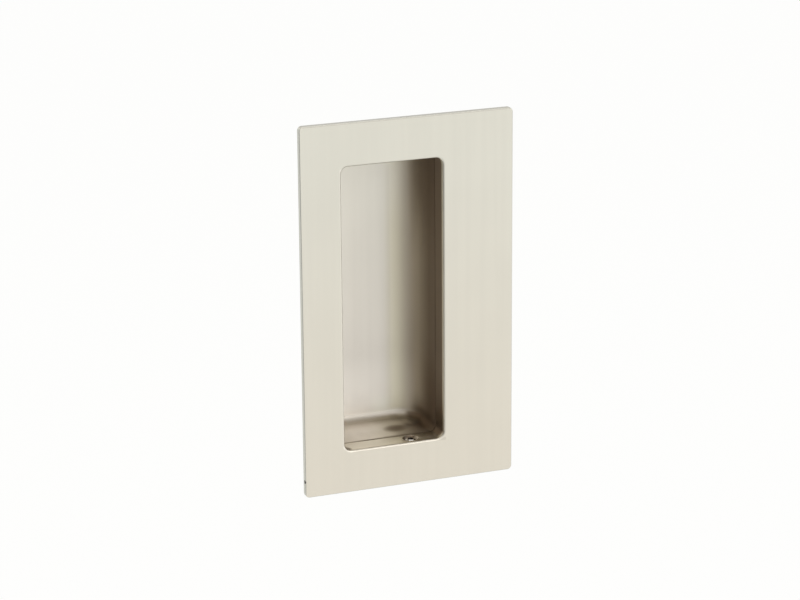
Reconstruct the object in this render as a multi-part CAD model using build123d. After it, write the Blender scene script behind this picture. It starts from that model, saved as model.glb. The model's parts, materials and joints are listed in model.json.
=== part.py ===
from build123d import *
import os
from math import radians, tan

# Recessed pull handle: a hollow-backed face plate with a collar, let over the mouth of a cast cup.
# Millimetres. X runs right, Y into the door, Z up. The origin is the middle of the face plate's
# outline, in the plane where the back of its rim meets the door.

# ---- Face plate ----
plate_width = 60.0
plate_height = 102.0
plate_thickness = 1.5
plate_corner = 1.2
plate_edge_round = 0.25         # softened edge round the front
rim_land = 2.0                  # width of the rim that bears on the door
pocket_depth = 0.5              # hollow in the back that houses the cup's flange
pocket_corner = 1.0
root_round = 0.4                # inside round where the collar leaves the plate

# ---- Opening and collar ----
opening_width = 28.6
opening_side = 11.4             # left of the opening
opening_end = 11.8              # above and below the opening
pocket_round = 2.0              # opening corners, and the recess along its top and bottom
opening_edge_round = 0.6
collar_wall = 2.0
collar_reach = 6.1              # from the front face to the seam
seam_chamfer = 0.2
collar_lead = 0.3

# ---- Cup ----
recess_depth = 21.5             # from the front face to the bottom of the recess
side_round = 7.0                # upright back corners inside the recess
draft = 1.0                     # degrees, on all four walls
cup_wall = 2.0
mouth_wall = 1.6
flange_thickness = 1.7
flange_corner = 1.0
mouth_lead = 0.6
step_chamfer = 0.4              # outside edge of the step behind the mouth
flange_root = 0.8               # outside round where the mouth leaves the flange

# ---- Fixing holes in the flange, for 3 mm countersunk wood screws ----
fixing_hole = 3.2
fixing_head = 5.4
fixing_side_inset = 12.0        # hole centres in from the plate's sides
fixing_end_inset = 5.5          # hole centres in from the plate's top and bottom

# ---- Set screws, M3 x 3, socket head flush with the collar ----
screw_size = 3.0
screw_length = 3.0
screw_sink = 0.1                # head end below the collar's inner wall
screw_across = 1.5              # right of the plate's centre line
screw_setback = 3.3             # behind the front face
screw_countersink = 4.5
screw_end_chamfer = 0.3
socket_flats = 1.5
socket_depth = 1.3

# ---- Fits ----
collar_clearance = 0.1          # collar in the cup's mouth, each side and at the seam
flange_clearance = 0.25         # flange in the plate's hollow, each side
thread_clearance = 0.05         # set screw in its tapped hole, each side
dimple_clearance = 0.1          # set screw's end in its dimple, each side

# ---- Modelling allowances ----
cut_overrun = 1.0               # cutters run this far past what they cut
pick_margin = 0.2               # how far outside an outline its own edges may lie
level_tolerance = 0.001

# ---- Worked out from the above ----
front_y = -plate_thickness
pocket_floor_y = -pocket_depth
opening_x = opening_side + opening_width / 2 - plate_width / 2
seam_y = front_y + collar_reach
shoulder_y = seam_y + collar_clearance
recess_back_y = front_y + recess_depth
flange_back_y = pocket_floor_y + flange_thickness
screw_y = front_y + screw_setback
half_opening_width = opening_width / 2
half_opening_height = plate_height / 2 - opening_end
half_collar_width = half_opening_width + collar_wall
half_collar_height = half_opening_height + collar_wall
half_mouth_width = half_collar_width + collar_clearance
half_mouth_height = half_collar_height + collar_clearance
mouth_corner = pocket_round + collar_wall + collar_clearance
fixing_x = plate_width / 2 - fixing_side_inset
fixing_z = plate_height / 2 - fixing_end_inset
screw_head_z = half_opening_height + screw_sink
screw_tip_z = screw_head_z + screw_length


def block(half_width, half_height, corner, start_y, end_y, centre_x=0.0):
    """Upright rectangular block with rounded corners, running back from start_y to end_y."""
    plane = Plane(origin=(centre_x, start_y, 0), x_dir=(1, 0, 0), z_dir=(0, 1, 0))
    outline = plane * RectangleRounded(2 * half_width, 2 * half_height, corner)
    return extrude(outline, amount=end_y - start_y)


def edges_at(solid, y):
    """Edges that lie wholly in the plane at depth y."""
    return [edge for edge in solid.edges()
            if abs(edge.bounding_box().min.Y - y) < level_tolerance
            and abs(edge.bounding_box().max.Y - y) < level_tolerance]


def loop_at(solid, y, half_width, half_height):
    """Edges at depth y that run round an outline no larger than the given one, set on the opening."""
    return [edge for edge in edges_at(solid, y)
            if abs(edge.center().X - opening_x) < half_width + pick_margin
            and abs(edge.center().Z) < half_height + pick_margin]


def recess_form(wall):
    """The recess behind the seam, grown outwards by a wall thickness, with its tapers and rounds."""
    taper = tan(radians(draft)) * (recess_back_y - shoulder_y)
    half_width = half_opening_width + wall
    half_height = half_opening_height + wall
    back_y = recess_back_y + wall

    plan = Polyline((-half_width, shoulder_y), (half_width, shoulder_y),
                    (half_width - taper, back_y), (-half_width + taper, back_y), close=True)
    plan_face = make_face(plan)
    plan_face = fillet(plan_face.vertices().group_by(Axis.Y)[-1], side_round + wall)
    upright = extrude(Plane.XY * plan_face, amount=half_height + cut_overrun, both=True)

    side = Polyline((shoulder_y, -half_height), (shoulder_y, half_height),
                    (back_y, half_height - taper), (back_y, -half_height + taper), close=True)
    across = extrude(Plane.YZ * make_face(side), amount=half_width + cut_overrun, both=True)

    form = upright & across
    ends = form.faces().sort_by(Axis.Z)
    rims = [edge for end in (ends[0], ends[-1]) for edge in end.edges()
            if edge.center().Y > shoulder_y + level_tolerance]
    return Pos(opening_x, 0, 0) * fillet(rims, pocket_round + wall)


def countersunk_hole(mouth, hole_size, sink_size, depth):
    """Cutter for a round hole with a 90 degree countersink, sunk from the mouth's plane."""
    hole = extrude(mouth.offset(-cut_overrun) * Circle(hole_size / 2), amount=depth + cut_overrun)
    sink = loft([mouth * Circle(sink_size / 2),
                 mouth.offset((sink_size - hole_size) / 2) * Circle(hole_size / 2)])
    return hole + sink


def screw_plane(z, z_sign):
    """Plane across a set screw's axis, facing away from the middle of the recess."""
    return Plane(origin=(screw_across, screw_y, z_sign * z), x_dir=(1, 0, 0), z_dir=(0, 0, z_sign))


def make_face_plate():
    half_width = plate_width / 2
    half_height = plate_height / 2
    slab = block(half_width, half_height, plate_corner, front_y, 0)
    slab = fillet(edges_at(slab, front_y), plate_edge_round)
    hollow = block(half_width - rim_land, half_height - rim_land, pocket_corner,
                   pocket_floor_y, 0)
    collar = block(half_collar_width, half_collar_height, pocket_round + collar_wall,
                   pocket_floor_y, seam_y, opening_x)
    plate = slab - hollow + collar
    root = loop_at(plate, pocket_floor_y, half_collar_width, half_collar_height)
    plate = fillet(root, root_round)
    plate = chamfer(edges_at(plate, seam_y), collar_lead)

    plate -= block(half_opening_width, half_opening_height, pocket_round,
                   front_y - cut_overrun, seam_y + cut_overrun, opening_x)
    lip = loop_at(plate, front_y, half_opening_width, half_opening_height)
    plate = fillet(lip, opening_edge_round)
    seam = loop_at(plate, seam_y, half_opening_width, half_opening_height)
    plate = chamfer(seam, seam_chamfer)

    for z_sign in (1, -1):
        mouth = screw_plane(half_opening_height, z_sign)
        plate -= countersunk_hole(mouth, screw_size, screw_countersink,
                                  collar_wall + cut_overrun)
    return plate


def make_cup():
    rim_gap = rim_land + flange_clearance
    flange = block(plate_width / 2 - rim_gap, plate_height / 2 - rim_gap, flange_corner,
                   pocket_floor_y, flange_back_y)
    step_y = shoulder_y + cup_wall
    mouth = block(half_mouth_width + mouth_wall, half_mouth_height + mouth_wall,
                  mouth_corner + mouth_wall, pocket_floor_y, step_y, opening_x)
    mouth = chamfer(edges_at(mouth, step_y), step_chamfer)
    cup = flange + mouth
    root = loop_at(cup, flange_back_y, half_mouth_width + mouth_wall,
                   half_mouth_height + mouth_wall)
    cup = fillet(root, flange_root)
    cup += recess_form(cup_wall)

    cup -= block(half_mouth_width, half_mouth_height, mouth_corner,
                 pocket_floor_y, shoulder_y, opening_x)
    cup -= recess_form(0)
    lead = loop_at(cup, pocket_floor_y, half_mouth_width, half_mouth_height)
    cup = chamfer(lead, mouth_lead)

    for x in (-fixing_x, fixing_x):
        for z in (-fixing_z, fixing_z):
            mouth = Plane(origin=(x, pocket_floor_y, z), x_dir=(1, 0, 0), z_dir=(0, 1, 0))
            cup -= countersunk_hole(mouth, fixing_hole, fixing_head,
                                    flange_thickness + cut_overrun)
    for z_sign in (1, -1):
        wall_face = screw_plane(half_mouth_height, z_sign)
        cup -= extrude(wall_face * Circle(screw_size / 2 + dimple_clearance),
                       amount=screw_tip_z - half_mouth_height)
    return cup


def make_set_screw(z_sign):
    """Socket set screw, head end towards the recess and flat end in the cup's dimple."""
    head = screw_plane(screw_head_z, z_sign)
    shank = extrude(head * Circle(screw_size / 2 - thread_clearance), amount=screw_length)
    shank = chamfer(shank.edges().filter_by(GeomType.CIRCLE), screw_end_chamfer)
    socket = RegularPolygon(socket_flats / 2, 6, major_radius=False)
    return shank - extrude(head * socket, amount=socket_depth)


nodes = {
    "face_plate": make_face_plate(),
    "cup": make_cup(),
    "set_screw_bottom": make_set_screw(-1),
    "set_screw_top": make_set_screw(1),
}

os.makedirs("parts", exist_ok=True)
for name, solid in nodes.items():
    solid.label = name
    export_step(solid, f"parts/{name}.step")
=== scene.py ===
import json
from math import cos, pi, radians, sin

import bpy
from bpy.props import FloatProperty, FloatVectorProperty, PointerProperty
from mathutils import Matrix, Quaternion, Vector


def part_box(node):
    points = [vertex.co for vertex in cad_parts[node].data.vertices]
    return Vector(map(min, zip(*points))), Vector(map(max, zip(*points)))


bl_info = {
    "name": "Recessed Pull Finishes",
    "version": (1, 0, 0),
    "blender": (4, 5, 0),
    "location": "3D View > Sidebar > Pull",
    "description": "Satin nickel finishes and a studio for a recessed pull handle",
    "category": "Material",
}

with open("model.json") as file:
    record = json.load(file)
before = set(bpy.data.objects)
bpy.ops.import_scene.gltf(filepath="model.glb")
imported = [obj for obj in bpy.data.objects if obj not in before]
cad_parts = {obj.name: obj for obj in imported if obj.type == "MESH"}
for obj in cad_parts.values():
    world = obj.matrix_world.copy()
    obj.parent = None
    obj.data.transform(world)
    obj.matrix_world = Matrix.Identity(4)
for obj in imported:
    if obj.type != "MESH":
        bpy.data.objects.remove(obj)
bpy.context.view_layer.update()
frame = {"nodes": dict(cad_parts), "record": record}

MM = 0.001
PLATE_LOW, PLATE_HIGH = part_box("face_plate")
SCREW_LOW, SCREW_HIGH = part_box("set_screw_bottom")
RECESS_LOW, RECESS_HIGH = frame["record"]["physics"]["openings"][0]["box_m"]

# The shapes that the finishes follow, in millimetres in the row frame.
FRONT_Y = PLATE_LOW.y / MM
HALF_WIDTH = PLATE_HIGH.x / MM
HALF_HEIGHT = PLATE_HIGH.z / MM
HOLLOW_Y = -0.5                 # floor of the hollow in the plate's back
OPENING_HALF_WIDTH = 14.3
OPENING_HALF_HEIGHT = 39.2
RECESS_MIDDLE_X = (RECESS_LOW[0] + RECESS_HIGH[0]) / 2 / MM
OPENING_LEFT_X = RECESS_MIDDLE_X - OPENING_HALF_WIDTH
SEAM_Y = 4.6                    # where the collar ends and the cup begins
CUP_WALL = 2.0
BACK_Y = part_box("cup")[1].y / MM - CUP_WALL
SIDE_ROUND = 7.0                # down the recess's upright back corners
END_ROUND = 2.0                 # along the recess's top and bottom
SCREW = (SCREW_LOW + SCREW_HIGH) / 2 / MM

# Noise scales, in cycles per millimetre, and the range from its low to its high patches.
GRAIN = (9.0, 9.0, 0.22)
BRUSH_STREAKS = (1.3, 1.3, 0.025)
TONE_STREAKS = (0.5, 0.5, 0.012)
TONE_CLOUDS = 0.045
SKIN_SWELL = 0.55
SKIN_PITS = 3.5
SCUFFS = 2.2
PAPER_FIBRE = 0.01
NOISE_RANGE = (0.3, 0.7)
PIT_RANGE = (0.66, 0.76)
TURNING_RINGS = 60.0            # radians per millimetre of radius

# How much of a colour's brightness is left in its darker streaks, clouds, pits or fibres.
UPPER_SHADE = 0.96
LOWER_SHADE = 0.965
PIT_SHADE = 0.82
PAPER_SHADE = 0.985

# How much each thing adds to the roughness.
GRAIN_ROUGHNESS = 0.06
STREAK_ROUGHNESS = 0.03
# Added to the roughness where painted shade darkens the recess:
SHADED_ROUGHNESS = 0.08
SKIN_ROUGHNESS = 0.16
SCUFF_ROUGHNESS = 0.2
SOCKET_ROUGHNESS = 0.15
PAPER_ROUGHNESS = 0.9

RELIEF_DEPTH = 0.03 * MM        # grain, swell and pits
TURNED_DEPTH = 0.02 * MM        # rings and scuffs on the screws
DISH_SIDES = 0.5                # the back wall's slight dish, in millimetres
DISH_FOOT = 1.9
BRUSHED_SPREAD = 0.5            # how far upright brushing widens a highlight sideways
NICK_COLOUR = (0.05, 0.045, 0.04)
PAPER_WHITE = (1, 1, 0.99)
ROOM_WHITE = (1, 1, 0.995)
PAPER_GLOW = 1.02


# ---- Sizes and colours that a user would change ----

class PlateFinish(bpy.types.PropertyGroup):
    """The face plate's nickel, and the nick on its edge"""
    colour: FloatVectorProperty(
        name="Nickel", description="Colour of the brushed satin nickel",
        subtype="COLOR", size=3, min=0, max=1, default=(0.755, 0.735, 0.645))
    low_colour: FloatVectorProperty(
        name="Lower nickel", description="Slightly warmer colour towards the plate's bottom",
        subtype="COLOR", size=3, min=0, max=1, default=(0.775, 0.725, 0.62))
    # Painted highlight along the opening's left lip.
    lip_highlight_colour: FloatVectorProperty(
        name="Lip", description="Nickel rubbed bright along the upright sides of the opening",
        subtype="COLOR", size=3, min=0, max=1, default=(0.98, 0.94, 0.84))
    # Painted shade along the plate's outer edge.
    edge_shade_colour: FloatVectorProperty(
        name="Edge", description="Colour of the duller plating on the plate's outer edge",
        subtype="COLOR", size=3, min=0, max=1, default=(0.60, 0.60, 0.54))
    roughness: FloatProperty(
        name="Roughness", description="Roughness of the brushed face",
        subtype="FACTOR", min=0, max=1, default=0.34)
    nick_size: FloatProperty(
        name="Nick", description="Radius of the small nick on the plate's left edge",
        subtype="DISTANCE", unit="LENGTH", min=0, default=0.5 * MM)
    nick_height: FloatProperty(
        name="Nick height", description="How far the nick lies below the plate's middle",
        subtype="DISTANCE", unit="LENGTH", default=46.5 * MM)


class CupFinish(bpy.types.PropertyGroup):
    """The cup's nickel, and the painted shade inside the opening and the recess"""
    # Painted light: these two nickel colours are set far lighter than the plate's nickel.
    colour: FloatVectorProperty(
        name="Nickel", description="Colour of the nickel on the recess's back wall",
        subtype="COLOR", size=3, min=0, max=1, default=(0.985, 0.96, 0.86))
    low_colour: FloatVectorProperty(
        name="Lower nickel", description="Slightly warmer colour towards the recess's bottom",
        subtype="COLOR", size=3, min=0, max=1, default=(0.915, 0.86, 0.785))
    # Painted shade: the colour where the recess is darkened about halfway.
    half_shade_colour: FloatVectorProperty(
        name="Half worn", description="Colour where about half of the plating is left",
        subtype="COLOR", size=3, min=0, max=1, default=(0.53, 0.475, 0.39))
    # Painted shade: an olive tint where the back wall turns into its right round.
    olive_colour: FloatVectorProperty(
        name="Olive cast", description="Colour where the back wall turns into its right round",
        subtype="COLOR", size=3, min=0, max=1, default=(0.885, 0.84, 0.67))
    # Painted shade: the darkest colour, inside the recess and on the plate's top edge and bottom
    # lip.
    dull_and_shade_colour: FloatVectorProperty(
        name="Thin plating", description="Colour of the thinner, duller plating on the side walls",
        subtype="COLOR", size=3, min=0, max=1, default=(0.145, 0.099, 0.062))
    cast_colour: FloatVectorProperty(
        name="Cast outside", description="Colour of the unbrushed outside of the castings",
        subtype="COLOR", size=3, min=0, max=1, default=(0.52, 0.50, 0.46))
    roughness: FloatProperty(
        name="Roughness", description="Roughness of the brushed recess",
        subtype="FACTOR", min=0, max=1, default=0.50)
    cast_roughness: FloatProperty(
        name="Cast roughness", description="Roughness of the unbrushed outside",
        subtype="FACTOR", min=0, max=1, default=0.48)


class ScrewFinish(bpy.types.PropertyGroup):
    """The set screws' nickel"""
    colour: FloatVectorProperty(
        name="Bright nickel", description="Colour of the screws' rubbed end chamfer",
        subtype="COLOR", size=3, min=0, max=1, default=(0.56, 0.53, 0.49))
    dull_and_shade_colour: FloatVectorProperty(
        name="Dull nickel", description="Colour of the screws' flat ends and sockets",
        subtype="COLOR", size=3, min=0, max=1, default=(0.34, 0.295, 0.25))
    roughness: FloatProperty(
        name="Roughness", description="Roughness of the turned screw ends",
        subtype="FACTOR", min=0, max=1, default=0.22)


class StudioSettings(bpy.types.PropertyGroup):
    """The camera, the floor and the light"""
    yaw: FloatProperty(
        name="Camera yaw", description="How far the camera stands round to the left",
        subtype="ANGLE", unit="ROTATION", default=radians(20.96))
    pitch: FloatProperty(
        name="Camera pitch", description="How far the camera looks down",
        subtype="ANGLE", unit="ROTATION", default=radians(16.88))
    roll: FloatProperty(
        name="Camera roll", description="Lean of the camera about its own line of sight",
        subtype="ANGLE", unit="ROTATION", default=radians(-0.46))
    distance: FloatProperty(
        name="Camera distance", description="From the camera to the middle of the plate's face",
        subtype="DISTANCE", unit="LENGTH", default=0.7312)
    focal_length: FloatProperty(
        name="Focal length", description="Focal length on a sensor 36 mm wide",
        subtype="DISTANCE_CAMERA", unit="CAMERA", min=1, default=123.49)
    aim_left: FloatProperty(
        name="Aim left", description="How far to the left of the plate's middle the camera aims",
        subtype="DISTANCE", unit="LENGTH", default=2.34 * MM)
    aim_up: FloatProperty(
        name="Aim up", description="How far above the plate's middle the camera aims",
        subtype="DISTANCE", unit="LENGTH", default=1.06 * MM)
    floor_drop: FloatProperty(
        name="Floor drop", description="How far the floor lies below the pull",
        subtype="DISTANCE", unit="LENGTH", min=0, default=0.30)
    floor_colour: FloatVectorProperty(
        name="Floor", description="Colour of the floor and backdrop",
        subtype="COLOR", size=3, min=0, max=1, default=(0.93, 0.93, 0.92))
    room_level: FloatProperty(
        name="Room", description="Brightness of the room away from the lamps, 1 being white",
        min=0, default=0.30)
    key_level: FloatProperty(
        name="Key", description="Brightness of the soft box at the front right, 1 being white",
        min=0, default=1.2)
    top_level: FloatProperty(
        name="Top", description="Brightness of the soft box overhead, 1 being white",
        min=0, default=1.1)
    card_tone: FloatProperty(
        name="Grey card",
        description="Tone of the front edge of the card on the camera's left, 1 being white",
        min=0, default=0.8)


# ---- Node building ----

class Value:
    """A number that varies over a surface. Arithmetic on it adds Math nodes."""

    def __init__(self, recipe, socket):
        self.recipe = recipe
        self.socket = socket

    def maths(self, operation, *operands):
        node = self.recipe.add("ShaderNodeMath", {"operation": operation},
                               dict(enumerate(operands)))
        return Value(self.recipe, node.outputs[0])

    def __add__(self, other):
        return self.maths("ADD", self, other)

    def __sub__(self, other):
        return self.maths("SUBTRACT", self, other)

    def __rsub__(self, other):
        return self.maths("SUBTRACT", other, self)

    def __mul__(self, other):
        return self.maths("MULTIPLY", self, other)

    def __truediv__(self, other):
        return self.maths("DIVIDE", self, other)

    def __rtruediv__(self, other):
        return self.maths("DIVIDE", other, self)

    def __pow__(self, other):
        return self.maths("POWER", self, other)

    def __rpow__(self, other):
        return self.maths("POWER", other, self)

    def __abs__(self):
        return self.maths("ABSOLUTE", self)

    __radd__ = __add__
    __rmul__ = __mul__

    def most(self, other):
        return self.maths("MAXIMUM", self, other)

    def sine(self):
        return self.maths("SINE", self)

    def rise(self, start, end, interpolation="LINEAR"):
        """0 up to start and 1 from end, with a straight rise between; start may be the larger."""
        node = self.recipe.add(
            "ShaderNodeMapRange", {"interpolation_type": interpolation},
            {"Value": self, "From Min": start, "From Max": end, "To Min": 0.0, "To Max": 1.0})
        return Value(self.recipe, node.outputs["Result"])

    def fade(self, start, end):
        """As rise, with a soft start and end."""
        return self.rise(start, end, "SMOOTHSTEP")


class Recipe:
    """The node tree of one material or of the world."""

    def __init__(self, tree):
        self.tree = tree
        tree.nodes.clear()

    def add(self, kind, settings=None, sockets=None):
        """Adds a node, sets its own settings first, then gives each socket its value or link."""
        node = self.tree.nodes.new(kind)
        for name, setting in (settings or {}).items():
            setattr(node, name, setting)
        for key, value in (sockets or {}).items():
            if isinstance(value, Value):
                value = value.socket
            if isinstance(value, bpy.types.NodeSocket):
                self.tree.links.new(value, node.inputs[key])
            else:
                node.inputs[key].default_value = value
        return node

    def place(self):
        """Where the shaded point lies in the row frame, in millimetres: the vector and x, y, z."""
        coordinates = self.add("ShaderNodeTexCoord").outputs["Object"]
        vector = self.scaled(coordinates, (1 / MM, 1 / MM, 1 / MM))
        parts = self.add("ShaderNodeSeparateXYZ", None, {0: vector})
        return [vector] + [Value(self, parts.outputs[i]) for i in range(3)]

    def scaled(self, vector, factors):
        """The vector with each of its parts multiplied."""
        return self.add("ShaderNodeVectorMath", {"operation": "MULTIPLY"},
                        {0: vector, 1: factors}).outputs[0]

    def noise(self, vector, scale, detail=2.0):
        """Noise of one scale, or of a scale for each direction; it averages 0.5."""
        if not isinstance(scale, float):
            vector, scale = self.scaled(vector, scale), 1.0
        node = self.add("ShaderNodeTexNoise", None,
                        {"Vector": vector, "Scale": scale, "Detail": detail, "Roughness": 0.5})
        return Value(self, node.outputs["Fac"])

    def blend(self, factor, first, second):
        """Colour that runs from first to second as factor goes from 0 to 1."""
        node = self.add("ShaderNodeMix", {"data_type": "RGBA"},
                        {"Factor": factor, 6: first, 7: second})
        return node.outputs[2]

    def bump(self, height, strength, distance, normal=None):
        """Normal tilted by a height, on top of another normal if there is one."""
        sockets = {"Height": height, "Strength": strength, "Distance": distance}
        if normal is not None:
            sockets["Normal"] = normal
        return self.add("ShaderNodeBump", None, sockets).outputs["Normal"]

    def seen(self):
        """1 for what the eye sees directly, in metal or through glass, 0 for what only lights."""
        path = self.add("ShaderNodeLightPath")
        camera, glossy, glass = (Value(self, path.outputs[name]) for name in
                                 ("Is Camera Ray", "Is Glossy Ray", "Is Transmission Ray"))
        return camera.most(glossy).most(glass)

    def surface(self, shader):
        self.add("ShaderNodeOutputMaterial", None, {"Surface": shader})


def opaque(colour, shade=1.0):
    """The colour as a node takes it, darkened by shade."""
    return (*(channel * shade for channel in colour), 1.0)


def new_material(name):
    material = bpy.data.materials.new(name)
    material.use_nodes = True
    return material, Recipe(material.node_tree)


def dress(node, material):
    """Gives a CAD node's object this one material."""
    slots = frame["nodes"][node].data.materials
    slots.clear()
    slots.append(material)


# ---- Finishes ----

def brushing(recipe, vector):
    """Upright brushing: a fine grain, and the broader faint streaks among it."""
    return recipe.noise(vector, GRAIN, 2.0), recipe.noise(vector, BRUSH_STREAKS, 3.0)


def cast_skin(recipe, vector):
    """The unbrushed skin of a die casting: a soft unevenness with small pits."""
    return recipe.noise(vector, SKIN_SWELL, 3.0), recipe.noise(vector, SKIN_PITS).fade(*PIT_RANGE)


def length(first, second):
    """Length of a line whose two parts lie at right angles."""
    return (first ** 2 + second ** 2) ** 0.5


def oval(x, y, middle, size, rim, core):
    """Soft oval patch on a wall that x and y cross: 0 past its rim and 1 within its core."""
    return (((x - middle[0]) / size[0]) ** 2 + ((y - middle[1]) / size[1]) ** 2).fade(rim, core)


# The shade functions say how far the metal is darkened, 0 to 1, patch by patch; nearly all of it
# is painted shade. What a rise or a fade runs between is in millimetres: x runs right and across
# is x from the recess's middle; y runs into the door; z runs up, and up is the height above or
# below the middle.

def side_shade(across, y, z):
    """Painted shade on the side walls: more at the right, and on the lower half of the flat of
    each wall.
    """
    out = abs(across)
    on_wall = out.fade(13.2, 14.0)
    side = out.rise(7.4, 14.2) * 0.60 + on_wall * y.rise(15.5, 9.0) * 0.28
    side = side * (across.rise(-10, 10) * 0.4 + 0.6)
    less_above_floor = z.fade(-18, -34) * out.fade(14.0, 11.5) * 0.3
    less_on_collar_floor = z.fade(-38, -39) * y.fade(4.5, 1.0) * out.fade(12.8, 11.0) * 0.5
    side = side * (1 - less_above_floor) * (1 - less_on_collar_floor)

    low = z.fade(-12, -31) * (1 - z.fade(-33, -37) * 0.5) * y.fade(17, 7) * 0.65
    collar = y.fade(5.5, 4.5) * 0.3
    return side, on_wall * low.most(collar)


def end_shade(x, across, y, up):
    """Painted shade on top and bottom walls, their small rounds, and the line where they leave the
    back wall.
    """
    run = x + y * 0.1
    end = run.rise(-7, 9) * 0.55 + run.fade(-3.5, 2.0) * 0.32
    end = end + run.rise(4, 9) * y.fade(6.0, 9.5) * 0.14
    less_far_back = y.fade(11.0, 15.5) * 0.37
    less_in_patch = oval(x, y, (6.9, 14.8), (2.5, 4.0), 1.3, 0.0) * 0.27
    end = end * (1 - less_far_back) * (1 - less_in_patch)
    end = end * up.fade(38.0, 39.0) * y.fade(2.5, 6.0)

    cove = across.fade(5.5, 7.0) * across.fade(9.5, 8.0) * 0.15 + 0.25
    cove = cove * up.fade(37.7, 38.7) * y.rise(13.5, 17.5)
    line = up.fade(36.9, 37.5) * up.fade(38.6, 37.6) * y.fade(18.6, 19.3) * 0.24
    return end, cove, line


def corner_shade(across, y, z):
    """Painted shade in the right-hand corners, where a side round meets an end round, and the tall
    side rounds.
    """
    up = abs(z)
    turn = across.fade(10.0, 11.8) * up.fade(36.8, 38.0) * up.fade(39.15, 38.75)
    turn = turn * y.fade(3.5, 8.0) * 0.82
    deep = z.fade(-31, -37) * y.fade(4, 10) * 0.5 + z.fade(-34.5, -36.5) * y.fade(7, 10) * 0.25
    corner = abs(across).fade(11.5, 14.0) * (z.fade(5, 32) * 0.55 + deep)
    return turn, corner


def seam_shade_and_line(x, across, y, up):
    """Painted shade beside the seam on the top and bottom walls, and the seam's dark line, partly
    painted shadow.
    """
    beside = y.rise(0.8, 4.4) * y.rise(6.0, 4.9) * x.fade(-9, -1) * 0.65
    beside = beside * (1 - across.fade(8.5, 10.5) * 0.5)
    seam = y.fade(SEAM_Y - 0.7, SEAM_Y - 0.3) * y.fade(SEAM_Y + 0.7, SEAM_Y + 0.3)
    seam = seam * (x.fade(-17, -9) * 0.5 + 0.5) * 0.65
    return beside.most(seam) * up.fade(38.6, 39.1)


def floor_shade_and_patches(x, across, y, z):
    """Darker patches on the recess's floor, with painted shade in the collar's corner and beside
    the screw.
    """
    on_floor = z.fade(-37.2, -38.4)
    # Painted shade in the collar's right-hand corner.
    collar_corner_shade = across.fade(12.3, 13.5) * y.fade(-0.8, 1.0) * y.fade(5.6, 4.1) * 0.95
    dark_patch = oval(x, y, (0.4, 10.4), (3.0, 2.4), 1.8, -0.2) * 0.8
    dark_spot = oval(x, y, (-17.3, 0.0), (1.2, 1.2), 1.2, 0.1) * 0.8
    # Painted shadow of the countersink, beside the screw.
    shade_beside_screw = oval(x, y, (-0.5, 0.4), (1.1, 1.0), 1.3, 0.1) * 0.6
    return collar_corner_shade * on_floor, dark_patch * on_floor, dark_spot.most(shade_beside_screw) * on_floor


def recess_shade(x, y, z):
    """How far a point inside the opening or the recess is darkened, 0 to 1, nearly all painted
    shade.
    """
    across = x - RECESS_MIDDLE_X
    up = abs(z)
    patches = (*side_shade(across, y, z), *end_shade(x, across, y, up), *corner_shade(across, y, z),
               seam_shade_and_line(x, across, y, up), *floor_shade_and_patches(x, across, y, z))
    left = 1 - patches[0]
    for darkening in patches[1:]:
        left = left * (1 - darkening)
    return 1 - left


def past_round(first, first_middle, second, second_middle):
    """Distance out from the middle line of a rounded corner; 0 where neither part is past it."""
    return length((first - first_middle).most(0.0), (second - second_middle).most(0.0))


def satin_nickel(recipe, vector, nickel, roughness, shading, inside, painted_shade, base_normal=None):
    """Brushed nickel where inside is 1 and cast skin elsewhere, darkened by painted shade.

    The mask after inside says how far painted shade darkens the nickel. The cup's finish gives
    the colours of the painted shade and the cast colours.
    """
    grain, streaks = brushing(recipe, vector)
    swell, pits = cast_skin(recipe, vector)

    # Painted shade: the nickel darkens through the half-shade colour to the darkest shade colour.
    brushed = recipe.blend(painted_shade.rise(0, 0.5), nickel, opaque(shading.half_shade_colour))
    brushed = recipe.blend(painted_shade.rise(0.5, 1), brushed, opaque(shading.dull_and_shade_colour))
    uneven = (swell.fade(*NOISE_RANGE) + pits) * 0.5
    cast = recipe.blend(uneven, opaque(shading.cast_colour), opaque(shading.cast_colour, PIT_SHADE))
    colour = recipe.blend(inside, cast, brushed)

    smooth = (grain - 0.5) * GRAIN_ROUGHNESS + (streaks - 0.5) * STREAK_ROUGHNESS
    smooth = smooth + roughness + painted_shade * SHADED_ROUGHNESS
    rough = (swell - 0.5) * SKIN_ROUGHNESS + shading.cast_roughness
    roughness = rough + (smooth - rough) * inside

    height = grain * 0.3 * inside + (swell - pits * 0.5) * (1 - inside)
    normal = recipe.bump(height, 0.2, RELIEF_DEPTH, base_normal)
    return colour, roughness, normal


def nickel_tone(recipe, vector, z, high_colour, low_colour):
    """The nickel's own colour, with faint clouds and broad upright streaks."""
    clouds = recipe.noise(vector, TONE_CLOUDS)
    streaks = recipe.noise(vector, TONE_STREAKS)
    height = z.rise(40, -45)
    tone = recipe.blend(height, opaque(high_colour), opaque(low_colour))
    shaded = recipe.blend(height, opaque(high_colour, UPPER_SHADE),
                          opaque(low_colour, LOWER_SHADE))
    uneven = (streaks.fade(*NOISE_RANGE) + clouds.fade(*NOISE_RANGE)) * 0.5
    return recipe.blend(uneven, tone, shaded)


def metal(recipe, colour, roughness, normal, spread):
    """Metal shader; spread is how far the highlight of upright brushing widens sideways."""
    node = recipe.add("ShaderNodeBsdfPrincipled", None, {
        "Base Color": colour, "Metallic": 1.0, "Roughness": roughness, "Normal": normal,
        "Anisotropic": spread})
    recipe.surface(node.outputs["BSDF"])


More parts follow.
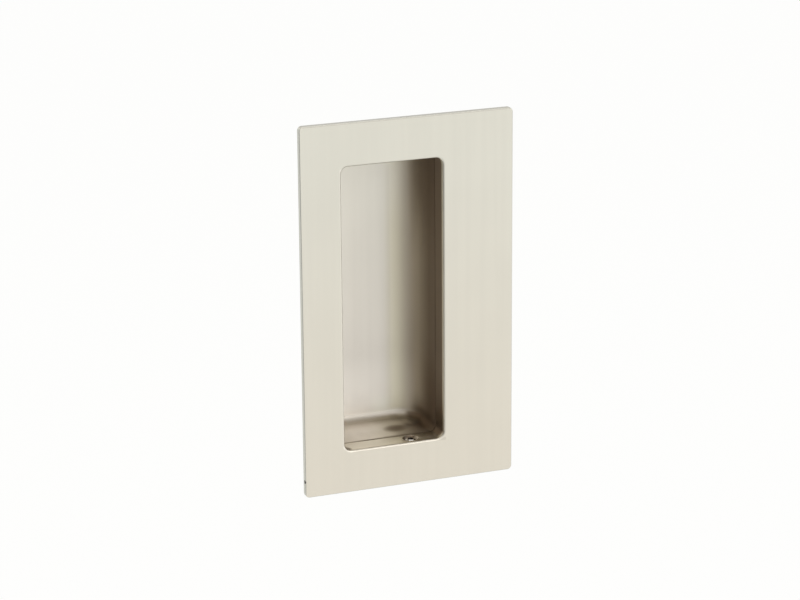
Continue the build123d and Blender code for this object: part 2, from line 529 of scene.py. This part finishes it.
class PULL_OT_face_plate(bpy.types.Operator):
    """Give the face plate and its collar their satin nickel"""
    bl_idname = "pull.face_plate"
    bl_label = "Finish face plate"

    def execute(self, context):
        plate = context.scene.plate_finish
        cup = context.scene.cup_finish
        material, recipe = new_material("plate_satin_nickel")
        vector, x, y, z = recipe.place()
        up = abs(z)

        rim = abs(x).fade(HALF_WIDTH - 0.7, HALF_WIDTH - 0.4)
        rim = rim.most(up.fade(HALF_HEIGHT - 0.7, HALF_HEIGHT - 0.4))
        front = y.fade(HOLLOW_Y - 0.02, HOLLOW_Y - 0.1).most(rim)
        out = abs(x - RECESS_MIDDLE_X)
        in_opening = out.fade(OPENING_HALF_WIDTH + 0.7, OPENING_HALF_WIDTH + 0.5)
        in_opening = in_opening * up.fade(OPENING_HALF_HEIGHT + 0.7, OPENING_HALF_HEIGHT + 0.5)
        inside = front.most(in_opening)

        # Painted shade darkens the plate's outer edge and top edge, a painted highlight lightens
        # the opening's left lip, and painted shade darkens its bottom lip a little.
        nickel = nickel_tone(recipe, vector, z, plate.colour, plate.low_colour)
        edge = abs(x).fade(HALF_WIDTH - 0.3, HALF_WIDTH - 0.1)
        edge = edge.most(up.fade(HALF_HEIGHT - 0.3, HALF_HEIGHT - 0.1)) * 0.9
        nickel = recipe.blend(edge, nickel, opaque(plate.edge_shade_colour))
        top_edge_shade = z.fade(HALF_HEIGHT - 0.5, HALF_HEIGHT - 0.2) * 0.3
        nickel = recipe.blend(top_edge_shade, nickel, opaque(cup.dull_and_shade_colour))
        left_lip_highlight = x.fade(OPENING_LEFT_X - 0.55, OPENING_LEFT_X - 0.15)
        left_lip_highlight = left_lip_highlight * x.fade(OPENING_LEFT_X + 0.6, OPENING_LEFT_X + 0.2)
        left_lip_highlight = left_lip_highlight * up.fade(39.0, 38.0) * y.fade(-0.7, -1.0)
        nickel = recipe.blend(left_lip_highlight, nickel, opaque(plate.lip_highlight_colour))
        low_lip_shade = in_opening * z.fade(-38.8, -39.2) * y.fade(-0.8, -1.1) * x.fade(-17, -15)
        nickel = recipe.blend(low_lip_shade * 0.15, nickel, opaque(cup.dull_and_shade_colour))

        # Painted shade darkens the collar from just behind the front, and the countersinks, with
        # less of it on parts of each countersink.
        screw_x, screw_y = x - SCREW.x, y - SCREW.y
        # Painted highlight: the countersink's shade fades away to the right of the screw.
        rubbed = screw_x.fade(1.3, 2.0) * 0.4
        # Less painted shade on part of the countersink's left side.
        back_left_lighter = screw_y.fade(0.6, 1.6) * screw_x.fade(-0.2, -1.0) * 0.35
        sink_shade = length(screw_x, screw_y).fade(2.35, 2.15) * (1 - rubbed) * (0.95 - back_left_lighter)
        reach = y.fade(-0.9, 0.0).most(x.fade(-14, -15) * y.fade(-1.3, -1.0))
        painted_shade = in_opening * (recess_shade(x, y, z) * reach).most(sink_shade)
        colour, roughness, normal = satin_nickel(
            recipe, vector, nickel, plate.roughness, cup, inside, painted_shade)

        nick_place = (-HALF_WIDTH, FRONT_Y + 0.5, -plate.nick_height / MM)
        offset = recipe.add("ShaderNodeVectorMath", {"operation": "DISTANCE"},
                            {0: vector, 1: nick_place})
        nick = plate.nick_size / MM
        nick = Value(recipe, offset.outputs["Value"]).fade(nick * 1.3, nick * 0.8)
        colour = recipe.blend(nick, colour, opaque(NICK_COLOUR))
        metal(recipe, colour, roughness, normal, BRUSHED_SPREAD)
        dress("face_plate", material)
        return {"FINISHED"}


class PULL_OT_cup(bpy.types.Operator):
    """Give the cup its brushed recess and its cast outside"""
    bl_idname = "pull.cup"
    bl_label = "Finish cup"

    def execute(self, context):
        finish = context.scene.cup_finish
        material, recipe = new_material("cup_satin_nickel")
        vector, x, y, z = recipe.place()
        across = x - RECESS_MIDDLE_X
        out = abs(across)

        # The recess and a millimetre of the metal round it: side rounds first, then end rounds.
        past_side = past_round(out, OPENING_HALF_WIDTH - SIDE_ROUND - 0.3, y, BACK_Y - SIDE_ROUND)
        past_end = past_round(past_side, SIDE_ROUND - END_ROUND,
                              abs(z), OPENING_HALF_HEIGHT - END_ROUND - 0.1)
        inside = past_end.fade(END_ROUND + 1.1, END_ROUND + 0.9)

        # Back wall: painted light at its foot, and a painted olive shade where it turns into the
        # right round.
        nickel = nickel_tone(recipe, vector, z, finish.colour, finish.low_colour)
        foot = across.fade(-1.0, 4.5) * across.fade(11.0, 8.2) * 0.9
        foot = foot * z.fade(-30.5, -35.5) * z.fade(-37.8, -36.9)
        nickel = recipe.blend(foot, nickel, opaque(finish.colour))
        olive = across.fade(4.5, 9.2) * across.fade(12.8, 10.2) * z.fade(-37.5, -36.0)
        olive = olive * (1 - z.fade(12, 30) * 0.5)
        nickel = recipe.blend(olive, nickel, opaque(finish.olive_colour))

        # The brushing has left the back wall very slightly dished.
        dish = (out.fade(0.5, 9.0) * DISH_SIDES + z.fade(-20, -42) * DISH_FOOT) * inside
        dished = recipe.bump(dish, 1.0, MM)
        colour, roughness, normal = satin_nickel(
            recipe, vector, nickel, finish.roughness, finish, inside, recess_shade(x, y, z), dished)
        metal(recipe, colour, roughness, normal, BRUSHED_SPREAD)
        dress("cup", material)
        return {"FINISHED"}


class PULL_OT_set_screws(bpy.types.Operator):
    """Give the set screws their bright turned nickel"""
    bl_idname = "pull.set_screws"
    bl_label = "Finish set screws"

    def execute(self, context):
        finish = context.scene.screw_finish
        material, recipe = new_material("screw_nickel")
        vector, x, y, z = recipe.place()
        radius = length(x - SCREW.x, y - SCREW.y)
        rings = (radius * TURNING_RINGS).sine()
        scuffs = recipe.noise(vector, SCUFFS, 3.0)
        rubbed = radius.fade(1.05, 1.2)
        colour = recipe.blend(rubbed, opaque(finish.dull_and_shade_colour), opaque(finish.colour))
        roughness = (scuffs - 0.5) * SCUFF_ROUGHNESS + (1 - rubbed) * SOCKET_ROUGHNESS
        roughness = roughness + finish.roughness
        normal = recipe.bump(rings * 0.2 + scuffs, 0.3, TURNED_DEPTH)
        metal(recipe, colour, roughness, normal, 0.0)
        for node in ("set_screw_bottom", "set_screw_top"):
            dress(node, material)
        return {"FINISHED"}


# ---- Studio ----

def put(name, data):
    """New object in the scene."""
    thing = bpy.data.objects.new(name, data)
    bpy.context.scene.collection.objects.link(thing)
    return thing


def direction(yaw, elevation):
    """Unit vector from the pull; yaw is measured from straight ahead of it towards its right."""
    return Vector((sin(yaw) * cos(elevation), -cos(yaw) * cos(elevation), sin(elevation)))


def stand_off(thing, yaw, elevation, distance):
    """Stands a thing off the pull and turns it to face it."""
    towards = direction(yaw, elevation)
    thing.location = towards * distance
    thing.rotation_euler = towards.to_track_quat("Z", "Y").to_euler()


def sweep(name, half_width, front_y, back_y, floor_z, bend, top_z, steps=12):
    """Floor that curves up into a backdrop, as one sheet."""
    profile = [(front_y, floor_z), (back_y - bend, floor_z)]
    for step in range(1, steps + 1):
        turn = pi / 2 * step / steps
        profile.append((back_y - bend + bend * sin(turn), floor_z + bend - bend * cos(turn)))
    profile.append((back_y, top_z))
    vertices = [(x, y, z) for y, z in profile for x in (-half_width, half_width)]
    faces = [(2 * i, 2 * i + 1, 2 * i + 3, 2 * i + 2) for i in range(len(profile) - 1)]
    mesh = bpy.data.meshes.new(name)
    mesh.from_pydata(vertices, [], faces)
    mesh.polygons.foreach_set("use_smooth", [True] * len(faces))
    sheet = put(name, mesh)
    return sheet


def paper(colour):
    """Pale paper. It shows white to the eye and in the metal, and still takes a soft shadow."""
    material, recipe = new_material("studio_paper")
    fibre = recipe.noise(recipe.place()[0], PAPER_FIBRE)
    tone = recipe.blend(fibre, opaque(colour), opaque(colour, PAPER_SHADE))
    matt = recipe.add("ShaderNodeBsdfPrincipled", None,
                      {"Base Color": tone, "Roughness": PAPER_ROUGHNESS})
    glow = recipe.add("ShaderNodeEmission", None,
                      {"Color": opaque(PAPER_WHITE), "Strength": PAPER_GLOW})
    mixed = recipe.add("ShaderNodeMixShader", None,
                       {0: recipe.seen() * 0.95, 1: matt.outputs[0], 2: glow.outputs[0]})
    recipe.surface(mixed.outputs[0])
    return material


def soft_box(name, yaw, elevation, distance, width, height, level):
    """Rectangular lamp aimed at the pull; level is its brightness, 1 being white."""
    lamp = bpy.data.lights.new(name, "AREA")
    lamp.shape = "RECTANGLE"
    lamp.size = width
    lamp.size_y = height
    lamp.energy = level * pi * width * height
    stand_off(put(name, lamp), yaw, elevation, distance)


def grey_card(name, yaw, elevation, distance, size, back_tone, front_tone):
    """Grey card that the camera doesn't see; it darkens what the metal reflects.

    Its tone runs from the edge nearer the door to the edge nearer the camera.
    """
    half = size / 2
    mesh = bpy.data.meshes.new(name)
    corners = [(x * half, y * half, 0) for x, y in ((-1, -1), (1, -1), (1, 1), (-1, 1))]
    mesh.from_pydata(corners, [], [(0, 1, 2, 3)])
    card = put(name, mesh)
    stand_off(card, yaw, elevation, distance)
    card.visible_camera = False
    card.visible_shadow = False
    material, recipe = new_material(name)
    forward = recipe.place()[1].fade(-half / MM, half / MM)
    shade = recipe.blend(forward, opaque([back_tone] * 3), opaque([front_tone] * 3))
    glow = recipe.add("ShaderNodeEmission", None, {"Color": shade, "Strength": 1.0})
    recipe.surface(glow.outputs[0])
    mesh.materials.append(material)


def room(level):
    """World: white to the eye and in the metal, and a plain grey room as light."""
    world = bpy.data.worlds.new("studio_room")
    world.use_nodes = True
    recipe = Recipe(world.node_tree)
    strength = level + recipe.seen() * (1.0 - level)
    background = recipe.add("ShaderNodeBackground", None,
                            {"Color": opaque(ROOM_WHITE), "Strength": strength})
    recipe.add("ShaderNodeOutputWorld", None, {"Surface": background.outputs[0]})
    bpy.context.scene.world = world


def place_camera(studio):
    """Camera at the front left and a little above, aimed near the middle of the face."""
    data = bpy.data.cameras.new("studio_camera")
    data.sensor_width = 36.0
    data.lens = studio.focal_length
    data.clip_start = 0.01
    data.clip_end = 50.0
    camera = put("studio_camera", data)
    towards = direction(-studio.yaw, studio.pitch)
    turn = towards.to_track_quat("Z", "Y") @ Quaternion((0, 0, 1), studio.roll)
    middle = (PLATE_LOW + PLATE_HIGH) / 2
    middle.y = PLATE_LOW.y
    aim = middle + turn @ Vector((-studio.aim_left, studio.aim_up, 0))
    camera.rotation_mode = "QUATERNION"
    camera.rotation_quaternion = turn
    camera.location = aim + towards * studio.distance
    bpy.context.scene.camera = camera


class PULL_OT_studio(bpy.types.Operator):
    """Build the floor, backdrop, lamps, room light and camera"""
    bl_idname = "pull.studio"
    bl_label = "Build studio"

    def execute(self, context):
        studio = context.scene.studio
        sheet = sweep("floor", half_width=3.0, front_y=-0.25, back_y=3.2,
                      floor_z=PLATE_LOW.z - studio.floor_drop, bend=0.8, top_z=2.6)
        sheet.data.materials.append(paper(studio.floor_colour))
        soft_box("key_box", yaw=radians(22), elevation=radians(20), distance=1.6,
                 width=1.1, height=0.9, level=studio.key_level)
        soft_box("top_box", yaw=radians(10), elevation=radians(98), distance=1.2,
                 width=1.2, height=0.9, level=studio.top_level)
        grey_card("card_left", yaw=radians(-50), elevation=radians(-8), distance=1.0,
                  size=2.0, back_tone=0.1, front_tone=studio.card_tone)
        room(studio.room_level)
        place_camera(studio)
        context.scene.view_settings.view_transform = "Standard"
        return {"FINISHED"}


# ---- Panel and registration ----

class PULL_PT_sidebar(bpy.types.Panel):
    """Lists the pull's finishes and its studio"""
    bl_idname = "PULL_PT_sidebar"
    bl_label = "Recessed pull"
    bl_space_type = "VIEW_3D"
    bl_region_type = "UI"
    bl_category = "Pull"

    def draw(self, context):
        for operator, settings in PANEL_ROWS:
            box = self.layout.box()
            box.operator(operator)
            group = getattr(context.scene, settings)
            for name in group.bl_rna.properties.keys():
                if name not in ("name", "rna_type"):
                    box.prop(group, name)


PANEL_ROWS = (
    ("pull.face_plate", "plate_finish"),
    ("pull.cup", "cup_finish"),
    ("pull.set_screws", "screw_finish"),
    ("pull.studio", "studio"),
)

SETTINGS = {
    "plate_finish": PlateFinish,
    "cup_finish": CupFinish,
    "screw_finish": ScrewFinish,
    "studio": StudioSettings,
}

CLASSES = (*SETTINGS.values(), PULL_OT_face_plate, PULL_OT_cup, PULL_OT_set_screws,
           PULL_OT_studio, PULL_PT_sidebar)


def register():
    for item in CLASSES:
        bpy.utils.register_class(item)
    for name, group in SETTINGS.items():
        setattr(bpy.types.Scene, name, PointerProperty(type=group))


def unregister():
    for name in SETTINGS:
        delattr(bpy.types.Scene, name)
    for item in reversed(CLASSES):
        bpy.utils.unregister_class(item)


def main():
    register()
    bpy.ops.pull.face_plate()
    bpy.ops.pull.cup()
    bpy.ops.pull.set_screws()
    bpy.ops.pull.studio()


if __name__ == "__main__":
    main()
